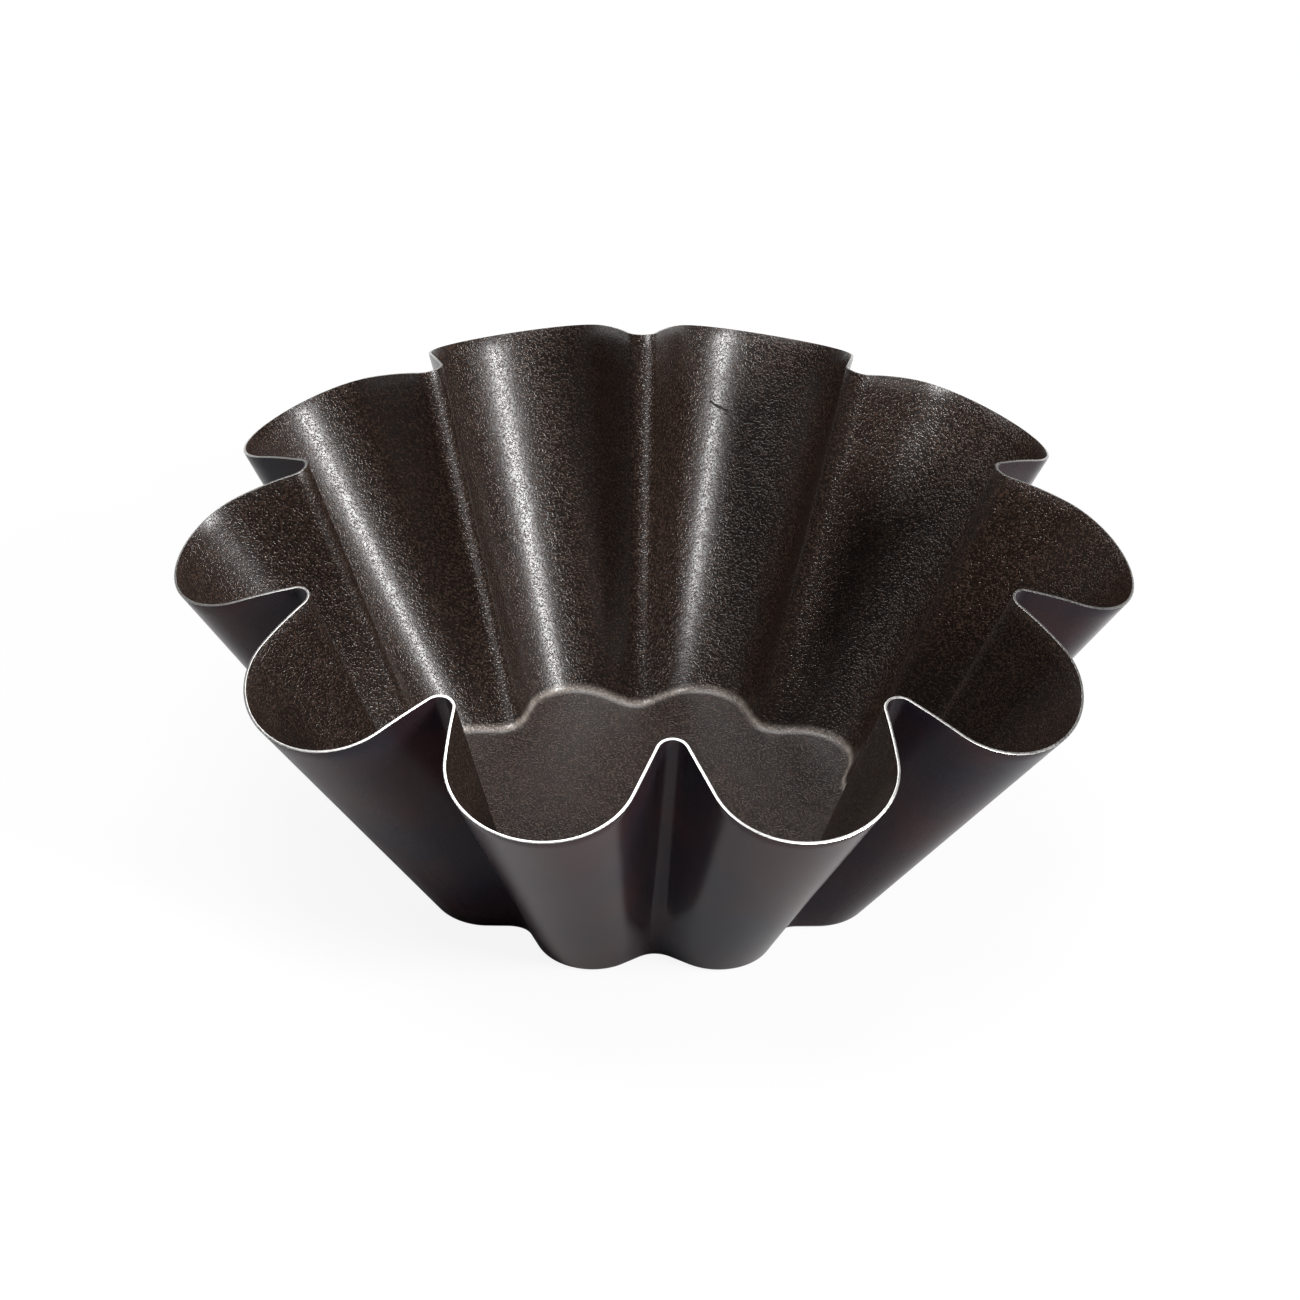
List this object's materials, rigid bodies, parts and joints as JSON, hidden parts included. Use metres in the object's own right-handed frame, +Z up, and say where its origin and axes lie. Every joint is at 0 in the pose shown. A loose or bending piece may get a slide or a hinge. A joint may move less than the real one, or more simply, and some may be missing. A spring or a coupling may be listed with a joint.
{
  "type": "brioche mould",
  "caption": "Deep fluted brioche mould pressed from one thin steel sheet, with a small flat base, flared conical flutes and a wavy cut edge at the mouth.",
  "frame": {"origin": "centre of the underside of the floor, on the ground", "axes": "+Z up along the mould's axis of symmetry, out of the mouth; +X through the tip of one lobe"},
  "size_m": [0.2, 0.1928, 0.0761],
  "materials": {
    "coated_steel": "satin"
  },
  "bodies": {
    "root": {"mould_shell": "coated_steel"}
  },
  "joints": []
}
